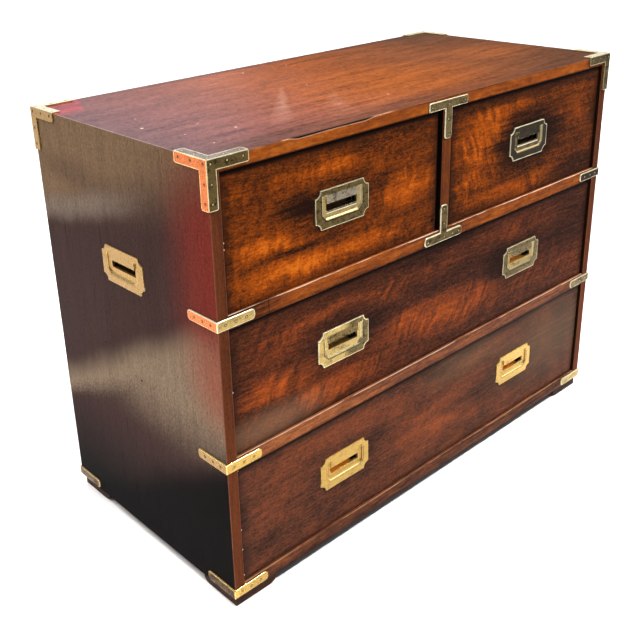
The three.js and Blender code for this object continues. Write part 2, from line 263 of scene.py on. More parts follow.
def swing(value, strength):
    """A noise value from 0 to 1 turned into a swing of that strength about nought."""
    return (value - 0.5) * strength


def grain_layers(tree, place):
    """Bands, streaks, fine lines and pores, each from 0 to 1, for a place with the grain's direction first."""
    place = tree.vector("ADD", place, tree.jitter(place, (5.0, 14.0, 14.0), (0.0, 0.03, 0.03)))
    bands = tree.noise(place, (4.5, 60.0, 60.0), 2.0, 0.5)
    streaks = tree.noise(place, (7.0, 190.0, 190.0), 3.0, 0.6)
    lines = tree.noise(place, (26.0, 700.0, 700.0), 3.0, 0.6)
    dashes = tree.noise(place, (110.0, 1100.0, 1100.0), 2.0, 0.5)
    pores = tree.span(dashes, 0.58, 0.7)
    return bands, streaks, lines, pores


# Colours of each wood from dark to light, as stops of (place, colour)
WOOD_STOPS = {
    "flame": [
        (0.0, (0.014, 0.005, 0.0024)), (0.2, (0.05, 0.0135, 0.0042)),
        (0.45, (0.155, 0.032, 0.004)), (0.7, (0.315, 0.06, 0.0045)),
        (1.0, (0.58, 0.135, 0.009)),
    ],
    "flame_red": [
        (0.0, (0.015, 0.0055, 0.0035)), (0.25, (0.056, 0.0165, 0.008)),
        (0.55, (0.165, 0.035, 0.0095)), (1.0, (0.43, 0.085, 0.012)),
    ],
    "flame_brown": [
        (0.0, (0.018, 0.0085, 0.006)), (0.3, (0.066, 0.025, 0.015)),
        (0.6, (0.165, 0.045, 0.019)), (1.0, (0.36, 0.085, 0.024)),
    ],
    "rail": [
        (0.0, (0.024, 0.0085, 0.004)), (0.35, (0.115, 0.029, 0.008)),
        (0.65, (0.27, 0.064, 0.009)), (1.0, (0.48, 0.15, 0.02)),
    ],
    "rail_pale": [
        (0.0, (0.026, 0.01, 0.007)), (0.35, (0.115, 0.04, 0.022)),
        (0.65, (0.25, 0.078, 0.029)), (1.0, (0.44, 0.16, 0.056)),
    ],
    "rail_stile": [
        (0.0, (0.026, 0.009, 0.0055)), (0.35, (0.12, 0.033, 0.013)),
        (0.65, (0.225, 0.064, 0.024)), (1.0, (0.42, 0.15, 0.06)),
    ],
    "lining": [
        (0.0, (0.12, 0.055, 0.022)), (0.5, (0.24, 0.125, 0.055)),
        (1.0, (0.38, 0.22, 0.11)),
    ],
}


def fade_spot(tree, place, centre, reach, strength=1.0):
    """An oval patch that fades out from its middle."""
    offset = tree.vector("SUBTRACT", place, centre)
    distance = tree.vector("LENGTH", tree.vector("DIVIDE", offset, reach))
    return tree.fall(distance, 0.1, 1.25, strength)


def polished_wood(tree, colour, layers, gloss=0.27, specular=0.12):
    """Closes the pores into a colour and gives the board its gloss and its fine relief."""
    bands, streaks, lines, pores = layers
    colour = colour.mix(pores * 0.5, (0.006, 0.003, 0.002))
    roughness = gloss - 0.07 + streaks * 0.14 + pores * 0.2
    height = lines * 0.35 - pores
    return tree.finish(colour, roughness, tree.bump(height, 0.12 * MM, 0.5), specular=specular)


# The figure of each drawer front: oval patches of light and dark. Each has its middle across and up, its reach
# across and up, all in percent of the front's width and height from its lower left corner, and its strength.
FIGURE_PATCHES = {
    "drawer_top_left": [
        (31, 17, 28, 10, 50), (14, 7, 12, 8, 12), (17, 38, 18, 9, 46), (72, 42, 10, 8, -12),
        (41, 81, 25, 8, 26), (84, 93, 14, 6, -14), (80, 46, 14, 17, 42), (62, 13, 16, 9, 32),
        (80, 15, 12, 8, 10), (73, 58, 8, 12, -24), (73, 74, 13, 18, 6), (88, 80, 14, 16, -8),
        (94.5, 47, 7, 14, 20), (50, 53, 17, 22, -28), (33, 59, 13, 9, -38), (28, 30, 26, 4.5, -22),
        (62, 90, 14, 8, -14),
    ],
    "drawer_top_right": [
        (15, 58, 18, 32, 34), (26, 80, 16, 14, 24), (14, 30, 16, 18, 22), (8, 42, 10, 12, -20),
        (31, 66, 8, 10, 20), (15, 11, 10, 9, 14), (38, 13, 26, 8, 32), (83, 72, 12, 17, 12),
        (86, 58, 10, 9, 18), (83, 42, 13, 10, -6), (60, 20, 22, 6, 14), (86, 12, 22, 16, -16),
        (38, 88, 24, 7, 20), (50, 54, 25, 27, -52), (30, 5, 30, 6, 6),
    ],
    "drawer_middle": [
        (19, 79, 17, 7, 24), (25, 7, 14, 8, 24), (12, 33, 7, 7, 18), (43, 73, 6, 10, -13),
        (8, 68, 6, 8, 16), (2, 45, 4, 12, -22), (50, 94, 22, 6, -16), (41, 76, 18, 12, 16),
        (8, 42, 12, 14, 42), (20, 18, 16, 11, 36), (7, 12, 12, 14, 14), (52, 66, 16, 18, -6),
        (70, 60, 20, 30, -8), (93, 66, 12, 30, -16), (50, 36, 19, 16, 38), (62, 22, 15, 12, 14),
        (85, 24, 15, 12, 10), (89, 72, 9, 12, 8), (70, 81, 12, 10, 14), (26, 54, 13, 20, -26),
        (73, 54, 12, 20, -30), (55, 58, 14, 7, -4),
    ],
    "drawer_bottom": [
        (17, 82, 16, 12, 16), (8, 53, 8, 17, 8), (2, 56, 4, 20, -14), (49, 42, 14, 22, 36),
        (53, 46, 17, 9, -28), (45, 18, 8, 8, 12), (61, 80, 12, 9, 16), (35, 80, 12, 12, 12),
        (72, 36, 11, 12, -16), (12, 18, 16, 16, -8), (25, 53, 12, 20, -22), (28, 33, 6, 7, -16),
        (83, 24, 14, 12, -12), (93, 82, 8, 14, -12), (75, 53, 12, 20, -16), (52, 90, 16, 10, -16),
        (94, 50, 5, 40, -14),
    ],
}

FIGURE_STRENGTH = 1.07

# For each drawer: its colours, base glow, ripple strength, ripple lean, gloss level and a shift along the log
FRONT_LOOKS = {
    "drawer_top_left": ("flame", 0.35, 0.14, 0.15, 0.015, (0.0, 0.0, 0.0)),
    "drawer_top_right": ("flame", 0.25, 0.2, -0.3, 0.015, (3.1, 0.4, 0.7)),
    "drawer_middle": ("flame_red", 0.26, 0.22, 0.55, 0.015, (7.3, 1.9, 0.3)),
    "drawer_bottom": ("flame_brown", 0.4, 0.05, 0.4, 0.02, (11.9, 2.6, 1.4)),
}

# Heights of the pale nicks in mm. They are on the left edges of the fronts that begin left of this place.
NICK_LEVELS = (569, 560, 354, 229, 128, 93, 47)
NICKED_LEFT_OF = -0.4

# Pale hazy patches on the fronts, painted reflection of sheen: middle, reach, strength and colour
HAZE_PATCHES = {
    "drawer_middle": [((-0.37, 0.277), (0.12, 0.032), 0.6, (0.19, 0.105, 0.062))],
    "drawer_bottom": [
        ((0.34, 0.15), (0.2, 0.09), 0.55, (0.12, 0.072, 0.04)),
        ((0.08, 0.2), (0.14, 0.035), 0.45, (0.13, 0.078, 0.045)),
    ],
}


def flame_front(drawer):
    stops, base, ripple_strength, lean, specular, shift = FRONT_LOOKS[drawer]
    low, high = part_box(drawer + "_front")
    size = high - low
    tree = Tree("wood_" + drawer)
    place = tree.coordinate()
    wood = along_grain(tree, place, "x", shift)
    layers = grain_layers(tree, wood)
    bands, streaks, lines, pores = layers
    x, y, z = tree.split(place)
    # Streaks fray the patches along the grain, and a slow sway bends them across it
    fray = tree.noise(wood, (4.0, 130.0, 130.0), 3.0, 0.6)
    sway = tree.noise(wood, (9.0, 14.0, 14.0), 2.0)
    across = (x - low.x + swing(fray, 95 * MM)) / size.x
    up = (z - low.z + swing(sway, 34 * MM)) / size.z
    shares = tree.join(across, up)
    patches = [
        fade_spot(
            tree, shares, (middle / 100, height / 100, 0.0), (wide / 100, tall / 100, 1.0),
            FIGURE_STRENGTH * strength / 100,
        )
        for middle, height, wide, tall, strength in FIGURE_PATCHES[drawer]
    ]
    # Ripples: short curved bars across the grain, here and there
    curl = tree.jitter(wood, (13.0, 24.0, 24.0), (0.045, 0.02, 0.0))
    leaned = x - z * lean
    ripple_place = tree.vector("ADD", tree.join(leaned, z, shift[0]), curl)
    ripple = tree.noise(ripple_place, (92.0, 17.0, 22.0), 2.0, 0.55)
    ripple = tree.span(ripple, 0.32, 0.68, -1.0, 1.0)
    where = tree.span(tree.noise(wood, 17.0, 2.0), 0.36, 0.54)
    lit = sum(patches, base)
    ripple = ripple * (where * tree.span(lit, 0.1, 0.6))
    fine = tree.noise(wood, (70.0, 240.0, 240.0), 3.0, 0.65)
    fleck = tree.noise(wood, (230.0, 470.0, 470.0), 3.0, 0.8)
    cloudy = drawer == "drawer_bottom"
    cloud = tree.noise(wood, (16.0, 26.0, 26.0), 4.0, 0.6)
    figure = lit + ripple * ripple_strength + swing(bands, 0.14 if cloudy else 0.28)
    figure = figure + swing(streaks, 0.22 if cloudy else 0.3) + swing(cloud, 0.6 if cloudy else 0.12)
    figure = figure + swing(fine, 0.46) + swing(fleck, 1.2) + swing(lines, 0.26)
    # A dark margin round the front, deepest along the upper edge: painted shade under the board above. Then painted
    # shade at both ends, beside the gaps, and a painted shadow in a strip under the board above
    inner_x = tree.least(x - low.x, high.x - x)
    inner_z = high.z - z
    margin = tree.least(inner_x, inner_z, z - low.z + 10 * MM) + swing(bands, 26 * MM)
    figure = figure * tree.span(margin, -4 * MM, 24 * MM, 0.35, 1.0)
    shadow = tree.span(inner_z, 2.5 * MM, 8 * MM, 0.1, 1.0)
    gap_shade = tree.span(inner_x, 1.0 * MM, 4.5 * MM, 0.08, 1.0)
    figure = figure * (shadow * gap_shade)
    colour = tree.ramp(figure, WOOD_STOPS[stops])
    # A near black painted shadow line just under the board above
    line = tree.fall(inner_z, 2.2 * MM, 4.2 * MM, 0.9)
    colour = colour.mix(line, (0.005, 0.003, 0.002))
    for level in NICK_LEVELS:
        if low.z < level * MM < high.z and low.x < NICKED_LEFT_OF:
            nick = (low.x + 1.5 * MM, low.y, level * MM)
            colour = round_spot(tree, colour, place, nick, 1.8 * MM, (0.75, 0.62, 0.48))
    # Pale hazy patches of painted reflected sheen
    for middle, reach, strength, paint in HAZE_PATCHES.get(drawer, ()):
        dull = fade_spot(tree, place, (middle[0], low.y, middle[1]), (reach[0], 1.0, reach[1]), strength)
        colour = colour.mix(dull, paint)
    if drawer == "drawer_top_left":
        knot = (-26.1 * MM, low.y, 490.3 * MM)
        colour = round_spot(tree, colour, place, knot, 3.4 * MM, (0.004, 0.002, 0.002))
    # The board's other faces, which show when the drawer is open
    plain = tree.ramp(0.36 + swing(bands, 0.4) + swing(streaks, 0.5), WOOD_STOPS["rail"])
    colour = plain.mix(facing(tree, FRONT), colour)
    return polished_wood(tree, colour, layers, 0.26, specular)


def round_spot(tree, colour, place, centre, radius, paint):
    """A round spot of paint with a soft rim."""
    distance = tree.vector("DISTANCE", place, centre)
    return colour.mix(tree.fall(distance, 0.6 * radius, radius), paint)


def facing(tree, direction):
    """How much of a face looks a way, from 0 to 1."""
    towards = tree.vector("DOT_PRODUCT", tree.coordinate("Normal"), direction)
    return tree.span(towards, 0.4, 0.8)


def worn_and_highlit_arris(tree, colour, place, level, strength, paint):
    """A pale line along a board's upper front edge, broken here and there: partly wear, partly a painted highlight
    where the arris meets the light.
    """
    x, y, z = tree.split(place)
    rub = tree.noise(place, (16.0, 90.0, 90.0), 3.0, 0.65)
    reach = tree.span(rub, 0.36, 0.68, -0.5 * MM, 0.8 * MM)
    line = tree.fall(level - z, reach, reach + 0.7 * MM, strength)
    front = tree.fall(y, CASE_FRONT + 0.6 * MM, CASE_FRONT + 2.2 * MM)
    return colour.mix(line * front, paint)


def plain_board(name, grain, stops, base, shift, contrast=0.4, gloss=0.3, specular=0.05, extra=None, touch=None):
    """A board of streaked wood. extra adds to its glow, and touch works over its colour."""
    tree = Tree("wood_" + name)
    place = tree.coordinate()
    wood = along_grain(tree, place, grain, shift)
    layers = grain_layers(tree, wood)
    bands, streaks, lines, pores = layers
    fine = tree.noise(wood, (55.0, 170.0, 170.0), 3.0, 0.7)
    speckle = tree.noise(place, 420.0, 2.0, 0.7)
    glow = base + swing(bands, contrast) + swing(streaks, contrast) + swing(lines, 0.25)
    glow = glow + swing(fine, contrast) + swing(speckle, 0.7 * contrast)
    if extra:
        glow = glow + extra(tree, place)
    colour = tree.ramp(glow, WOOD_STOPS[stops])
    if touch:
        colour = touch(tree, place, colour)
    return polished_wood(tree, colour, layers, gloss, specular)


# Rails: their wood, the glow along them as stops of (place, level), and the strength and colour of the pale
# upper arris, partly wear and partly painted highlight
RAIL_LOOKS = {
    "rail_bottom": ("rail_pale", [(-CASE_HALF, 0.22), (0.0, 0.32), (CASE_HALF, 0.24)], 0.6, (0.46, 0.25, 0.12)),
    "rail_lower": (
        "rail_pale", [(-CASE_HALF, 0.62), (-0.25, 0.58), (0.0, 0.46), (CASE_HALF, 0.34)], 0.58, (0.76, 0.52, 0.36),
    ),
    "rail_upper": (
        "rail", [
            (-CASE_HALF, 0.3), (-0.375, 0.34), (-0.31, 0.62), (-0.14, 0.6), (0.0, 0.34), (0.16, 0.56),
            (CASE_HALF, 0.52),
        ], 0.75, (0.8, 0.6, 0.48),
    ),
}


def rail(name, shift):
    stops, levels, arris_strength, arris_paint = RAIL_LOOKS[name]
    low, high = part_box(name)

    def extra(tree, place):
        return tree.curve(tree.split(place)[0], -CASE_HALF, CASE_HALF, levels)

    def touch(tree, place, colour):
        # Painted shade along the rail's lower edge
        lower = tree.fall(tree.split(place)[2] - low.z, 0.5 * MM, 3.5 * MM, 0.7)
        colour = colour.mix(lower, (0.03, 0.01, 0.006))
        colour = worn_and_highlit_arris(tree, colour, place, high.z, arris_strength, arris_paint)
        if name == "rail_upper":
            x = tree.split(place)[0]
            joint = abs(x + 369.5 * MM)
            colour = colour.mix(tree.fall(joint, 0.4 * MM, 0.9 * MM, 0.8), (0.01, 0.004, 0.003))
        return colour

    return plain_board(name, "x", stops, 0.0, shift, 0.72, 0.28, 0.02, extra, touch)


def top_wood():
    """The top: rosy at its left end, orange left of the middle, brown at the right, dark along its edges."""
    tree = Tree("wood_top")
    place = tree.coordinate()
    wood = along_grain(tree, place, "x", (0.0, 5.0, 0.0))
    layers = grain_layers(tree, wood)
    bands, streaks, lines, pores = layers
    fray = tree.noise(wood, (4.0, 60.0, 60.0), 3.0, 0.6)
    x, y, z = tree.split(place)
    across = (x + CASE_HALF + swing(fray, 0.1)) / (2 * CASE_HALF)
    colour = tree.ramp(across, [
        (0.0, (0.138, 0.064, 0.065)),
        (0.14, (0.208, 0.072, 0.058)),
        (0.36, (0.285, 0.08, 0.031)),
        (0.54, (0.25, 0.062, 0.011)),
        (0.74, (0.19, 0.056, 0.016)),
        (0.94, (0.125, 0.042, 0.015)),
    ])
    # Shaded and warm patches: middle, reach, strength, colour
    for middle, reach, strength, paint in (
        ((-0.12, -0.2), (0.3, 0.06), 0.35, (0.15, 0.05, 0.024)),
        ((0.02, -0.07), (0.21, 0.13), 0.62, (0.35, 0.086, 0.009)),
        ((0.34, -0.03), (0.12, 0.09), 0.5, (0.3, 0.082, 0.018)),
        ((0.45, -0.2), (0.28, 0.13), 0.5, (0.07, 0.03, 0.016)),
        ((0.44, 0.2), (0.16, 0.12), 0.6, (0.08, 0.04, 0.024)),
    ):
        patch = fade_spot(tree, place, (*middle, CASE_TOP), (*reach, 1.0), strength)
        colour = colour.mix(patch, paint)
    # Dust rubbed along the front and the back
    front = tree.fall(y + swing(bands, 0.05), -0.215, -0.15, 0.5)
    colour = colour.mix(front, (0.08, 0.032, 0.018))
    back = tree.span(y, 0.185, 0.215, 0.0, 0.55)
    colour = colour.mix(back, (0.06, 0.03, 0.028))
    broad = tree.noise(wood, (5.0, 34.0, 34.0), 4.0, 0.65)
    left = tree.fall(x + CASE_HALF, 0.8 * MM, 2.4 * MM, 0.6)
    colour = colour.mix(left, (0.5, 0.38, 0.33))
    red = tree.fall(x - y * 0.45 + 0.477, -4 * MM, 6 * MM, 0.62) * tree.span(y, 0.118, 0.158)
    colour = colour.mix(red, (0.36, 0.052, 0.062))
    # Two pale streaks of painted reflection, from near the middle to the front left
    for start, end, width, strength in (
        ((-0.095, 0.055), (-0.303, -0.183), 15 * MM, 0.27),
        ((-0.06, -0.02), (-0.2, -0.195), 20 * MM, 0.14),
    ):
        along = Vector((end[0] - start[0], end[1] - start[1], 0.0))
        length = along.length
        along.normalize()
        offset = tree.vector("SUBTRACT", place, (start[0], start[1], CASE_TOP))
        run = tree.vector("DOT_PRODUCT", offset, along)
        beside = abs(tree.vector("DOT_PRODUCT", offset, (-along.y, along.x, 0.0)))
        wide = tree.span(run, 0.0, length, 0.35 * width, 1.7 * width)
        line = tree.fall(beside / wide, 0.0, 1.0, strength)
        line = line * tree.span(run, 0.0, 0.1) * tree.fall(run, 0.5 * length, length)
        line = line * tree.span(broad, 0.3, 0.6, 0.6, 1.2)
        colour = colour.mix(line, (0.55, 0.3, 0.22))
    for spot_x, spot_y, radius in (
        (19, 168, 2.2), (-329, -115, 2.4), (-78, 11, 2.0), (-45, -135, 2.0), (-79, 172, 2.4), (-418, -22, 3.0),
        (-394, 31, 1.5), (-398, -94, 1.5), (-398, -156, 1.5), (-351, -58, 1.3),
    ):
        centre = (spot_x * MM, spot_y * MM, CASE_TOP)
        colour = round_spot(tree, colour, place, centre, radius * MM, (0.75, 0.55, 0.48))
    mottle = tree.noise(wood, (45.0, 80.0, 80.0), 3.0, 0.6)
    combed = tree.noise(wood, (10.0, 120.0, 120.0), 3.0, 0.6)
    grit = tree.noise(wood, (130.0, 110.0, 110.0), 3.0, 0.85)
    tone = 0.66 + swing(broad, 0.5) + swing(mottle, 0.4) + swing(combed, 0.7)
    tone = tone + swing(streaks, 0.6) + swing(lines, 0.7) + swing(grit, 1.1)
    colour = tree.toned(colour, tone)
    # The front edge of the board, with painted shade along its lower edge, its pale arris, partly wear and partly
    # painted highlight, and an old chip
    fleck = tree.noise(wood, (60.0, 200.0, 200.0), 3.0, 0.7)
    edge_glow = 0.6 + swing(bands, 0.5) + swing(streaks, 0.6) + swing(mottle, 0.35) + swing(fleck, 0.6)
    edge = tree.ramp(edge_glow, WOOD_STOPS["rail"])
    # Painted shade along the lower edge
    lower = tree.fall(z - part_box("top_panel")[0].z, 0.5 * MM, 2.5 * MM, 0.85)
    edge = edge.mix(lower, (0.02, 0.007, 0.004))
    upper = tree.fall(CASE_TOP - z, 0.8 * MM, 2.0 * MM, 0.6) * tree.span(x, -0.12, -0.06)
    edge = edge.mix(upper, (0.05, 0.016, 0.008))
    edge = worn_and_highlit_arris(tree, edge, place, CASE_TOP, 0.3, (0.5, 0.24, 0.14))
    colour = colour.mix(facing(tree, FRONT), edge)
    deep = tree.curve(x, -0.34, -0.1, [
        (-0.34, 0.0), (-0.328, 0.18), (-0.305, 0.62), (-0.24, 0.5), (-0.185, 0.6), (-0.16, 0.22), (-0.105, 0.0),
    ])
    chip = deep * (6 * MM) - (CASE_TOP - z)
    inside = tree.span(chip, 0.0, 0.4 * MM)
    near_edge = tree.fall(y, CASE_FRONT, CASE_FRONT + 5 * MM)
    rough_end = tree.blend(tree.span(chip, 0.8 * MM, 2.2 * MM), (0.42, 0.2, 0.11), (0.012, 0.006, 0.005))
    inside = inside * (near_edge * tree.span(deep, 0.02, 0.12))
    colour = colour.mix(inside, rough_end)
    tree.shader.inputs["Specular IOR Level"].default_value = 0.09
    specular = 0.09 - facing(tree, FRONT) * 0.075
    return polished_wood(tree, colour, layers, 0.34, specular)


def seen_side(tree, place, y, z, cloud, speckle):
    """The left side: tan above and dark below, partly the wood's tone and partly painted reflection, with a
    painted sheen, a painted band of reflected light that rises to the front, the red upper corner and a near
    black foot of painted shade."""
    forward = (CASE_BACK - y) / CASE_DEPTH
    upper = z - forward * 0.11
    # Tan above and dark below: the wood's tone and painted reflection
    soft = tree.span(upper, 0.495 - forward * 0.035, forward * 0.06 + 0.555)
    colour = tree.blend(soft, (0.043, 0.021, 0.018), (0.162, 0.098, 0.054))
    # A darker strip above the painted sheen
    darker_strip = fade_spot(tree, place, (CASE_LEFT, 0.12, 0.6), (2.0, 0.1, 0.028)) * cloud
    colour = colour.mix(darker_strip, (0.06, 0.034, 0.024))
    sheen = tree.fall(abs(upper - 0.521), 0.002, 0.03, 0.5) * tree.fall(forward, 0.35, 0.75)
    colour = colour.mix(sheen, (0.22, 0.17, 0.135))
    # A painted band of reflected light that rises to the front
    rough_z = z + swing(speckle, 0.03)
    upper_edge = forward * 0.228 + 0.234
    width = forward * forward * 0.1 + 0.044
    above = rough_z - upper_edge
    core = (above + width) / (forward * 0.045 + 0.014)
    core = tree.span(core, -1.0, 1.0)
    lower = tree.span(rough_z, 0.2, 0.33) * tree.span(forward, 0.1, 0.6)
    reflected_band = tree.fall(above, -0.032, 0.026, 0.95) * tree.most(core, lower)
    colour = colour.mix(reflected_band, (0.215, 0.15, 0.098))
    red = tree.span(forward, 0.7, 0.98) * tree.span(z, 0.36, 0.47) * tree.span(z, 0.58, 0.72, 0.92, 0.25)
    colour = colour.mix(red, (0.165, 0.022, 0.013))
    rosy = fade_spot(tree, place, (CASE_LEFT, CASE_FRONT, 0.37), (2.0, 0.085, 0.085), 0.75)
    colour = colour.mix(rosy, (0.25, 0.064, 0.036))
    # A near black foot that rises to the front, painted shade
    foot = z - forward * 0.27
    return colour.mix(tree.fall(foot, -0.055, 0.015, 0.98), (0.003, 0.002, 0.002))


def side_wood(name, shift, seen):
    """A side, near black at its foot with painted shade, and the stile that its edges are cut from."""
    tree = Tree("wood_" + name)
    place = tree.coordinate()
    layers = grain_layers(tree, along_grain(tree, place, "z", shift))
    bands, streaks, lines, pores = layers
    x, y, z = tree.split(place)
    cloud = tree.noise(place, (9.0, 9.0, 9.0), 3.0, 0.55)
    z = z + swing(cloud, 0.03)
    speckle = tree.noise(place, 260.0, 3.0, 0.7)
    if seen:
        colour = seen_side(tree, place, y, z, cloud, speckle)
    else:
        colour = tree.blend(tree.span(cloud, 0.3, 0.7), (0.12, 0.042, 0.022), (0.19, 0.068, 0.032))
    # Near black painted shade towards the foot
    colour = colour.mix(tree.span(z, 0.06, 0.2, 0.97, 0.0, "LINEAR"), (0.004, 0.003, 0.003))
    tone = 0.96 + swing(bands, 0.3) + swing(streaks, 0.4) + swing(lines, 0.6) + swing(speckle, 1.1)
    colour = tree.toned(colour, tone)
    glow = tree.span(z, 0.1, 0.45, 0.31, 0.26) + swing(bands, 0.3) + swing(streaks, 0.4) + swing(speckle, 0.35)
    stile = tree.ramp(glow, WOOD_STOPS["rail_stile"])
    beside = abs(x)
    inner = -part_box("side_panel_left")[1].x
    # Pale lines along the stile's arrises, partly wear and partly painted highlight
    stile = stile.mix(tree.fall(beside - inner, 0.5 * MM, 1.2 * MM, 0.3), (0.26, 0.12, 0.07))
    stile = stile.mix(tree.fall(CASE_HALF - beside, 0.8 * MM, 2.2 * MM, 0.5), (0.25, 0.1, 0.055))
    if not seen:
        # Painted shade on the inner face, in the gap beside the drawer
        painted_shade = facing(tree, LEFT) * tree.fall(y, CASE_FRONT + 5 * MM, CASE_FRONT + 9 * MM, 0.9)
        stile = stile.mix(painted_shade, (0.01, 0.005, 0.003))
    colour = stile.mix(facing(tree, LEFT if seen else RIGHT), colour)
    hole = (CASE_LEFT, -18.7 * MM, 303 * MM)
    colour = round_spot(tree, colour, place, hole, 2.6 * MM, (0.01, 0.006, 0.005))
    return polished_wood(tree, colour, layers, 0.3, 0.008)


# Brass


# Its looks, partly tarnish and partly painted reflection of its surroundings: clean colour, tarnish colour, how much
# of it is tarnished, how metallic it is
BRASS_TARNISH_AND_REFLECTION = {
    "bright": ((0.57, 0.365, 0.1), (0.31, 0.185, 0.047), 0.35, 0.85),
    "cream": ((0.43, 0.3, 0.105), (0.19, 0.128, 0.045), 0.45, 0.85),
    "olive": ((0.148, 0.1, 0.034), (0.036, 0.024, 0.008), 0.62, 0.85),
    "mid": ((0.215, 0.15, 0.06), (0.052, 0.036, 0.015), 0.58, 0.85),
    "dark": ((0.032, 0.019, 0.006), (0.006, 0.005, 0.003), 0.66, 0.12),
    "grey": ((0.34, 0.28, 0.195), (0.07, 0.056, 0.036), 0.56, 0.85),
    "peach": ((0.58, 0.155, 0.042), (0.42, 0.11, 0.03), 0.3, 0.7),
    "yellow": ((0.33, 0.19, 0.058), (0.29, 0.162, 0.049), 0.3, 0.7),
    "top": ((0.6, 0.55, 0.4), (0.34, 0.3, 0.2), 0.5, 0.45),
    "dull_top": ((0.2, 0.16, 0.12), (0.09, 0.07, 0.055), 0.6, 0.45),
    "brown": ((0.12, 0.062, 0.017), (0.04, 0.021, 0.009), 0.7, 0.85),
}


# The pale line along the edges of the duller plates, partly rubbed wear and partly painted highlight
RUBBED_AND_HIGHLIT = {
    "olive": (0.86, 0.74, 0.45),
    "dark": (0.8, 0.72, 0.5),
    "mid": (0.9, 0.79, 0.5),
    "cream": (0.92, 0.82, 0.52),
    "brown": (0.62, 0.46, 0.18),
    "peach": (0.95, 0.55, 0.25),
    "dull_top": (0.72, 0.66, 0.5),
}

# Widths of a bracket's arm, a pull's notch and the parts of a T strap, half of it for the stem
BRACKET_ARM = 15.2 * MM
PULL_NOTCH = 10 * MM
TEE_BAR = 14.75 * MM
TEE_STEM = 8.25 * MM


def brass_tarnish_and_reflection(layers, state):
    """The colour of brass in a look that is partly tarnish and partly painted reflection, its share of tarnish and
    how metallic it is.
    """
    patches, specks, scratches = layers
    tree = patches.tree
    clean, dull, amount, metallic = BRASS_TARNISH_AND_REFLECTION[state]
    mottle = patches + swing(specks, 0.5)
    mottle = tree.span(mottle, 0.66 - 0.36 * amount, 0.8 - 0.2 * amount)
    return tree.blend(mottle, clean, dull), mottle, metallic


def brass_layers(tree, place):
    """Patches, specks and scratches, each from 0 to 1."""
    patches = tree.noise(place, (70.0, 70.0, 110.0), 5.0, 0.68)
    specks = tree.noise(place, (420.0, 420.0, 420.0), 3.0, 0.6)
    scratches = tree.noise(place, (40.0, 1800.0, 1800.0), 2.0, 0.6)
    return patches, specks, scratches


def finish_brass(tree, colour, mottle, metallic, layers, roughness=0.28, relief=0.45):
    patches, specks, scratches = layers
    rough = roughness - 0.06 + mottle * 0.18 + specks * 0.12
    height = specks * 0.6 + scratches * 0.25
    return tree.finish(colour, rough, tree.bump(height, 0.08 * MM, relief), metallic=metallic, specular=0.1)


def within(value, low, high):
    """How far a value is inside a span, negative outside it."""
    return value.tree.least(value - low, high - value)


def plate_insets(tree, place, name):
    """How far a point is from the nearest edge of its plate, on the front, the side and the top of the plate."""
    low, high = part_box(name)
    x, y, z = tree.split(place)
    if name in TEE_NODES:
        middle = (low.x + high.x) / 2
        bar_low, bar_high = (high.z - TEE_BAR, high.z) if name == "tee_strap_top" else (low.z, low.z + TEE_BAR)
        bar = tree.least(within(x, low.x, high.x), within(z, bar_low, bar_high))
        stem = tree.least(within(x, middle - TEE_STEM, middle + TEE_STEM), within(z, low.z, high.z))
        inset = tree.most(bar, stem)
        return inset, inset, inset
    from_side = x - low.x if "left" in name else high.x - x
    from_front = high.y - y if "back" in name else y - low.y
    if name in STRAP_NODES:
        level = within(z, low.z, high.z)
        front = tree.least(from_side, high.x - low.x - from_side, level)
        side = tree.least(from_front, high.y - low.y - from_front, level)
        return front, side, level
    from_top = high.z - z
    reach = high.z - low.z

    def corner(first, second):
        inner = tree.most(BRACKET_ARM - first, BRACKET_ARM - second)
        outer = reach - tree.most(first, second)
        return tree.least(first, second, inner, outer)

    return corner(from_side, from_top), corner(from_front, from_top), corner(from_side, from_front)


def plate_brass(name, front, side, top):
    """Brass of a plate that turns round a corner, with its own look on each of its faces, partly tarnish and partly
    painted reflection.
    """
    tree = Tree("brass_" + name)
    place = tree.coordinate()
    layers = brass_layers(tree, place)
    insets = plate_insets(tree, place, name)
    rub = tree.noise(place, 60.0, 2.0)
    end = tree.span(rub, 0.3, 0.7, 1.0 * MM, 1.9 * MM)

    def rubbed_and_highlit(colour, inset, state):
        if state not in RUBBED_AND_HIGHLIT:
            return colour
        line = tree.fall(inset, end * 0.6, end, 0.9)
        return colour.mix(line, RUBBED_AND_HIGHLIT[state])

    colour, mottle, metallic = brass_tarnish_and_reflection(layers, front)
    colour = rubbed_and_highlit(colour, insets[0], front)
    for direction, state, inset in ((LEFT, side, insets[1]), (RIGHT, side, insets[1]), (UP, top, insets[2])):
        share = facing(tree, direction)
        other, _, other_metallic = brass_tarnish_and_reflection(layers, state)
        colour = colour.mix(share, rubbed_and_highlit(other, inset, state))
        metallic = metallic + share * (other_metallic - BRASS_TARNISH_AND_REFLECTION[front][3])
    return finish_brass(tree, colour, mottle, metallic, layers)


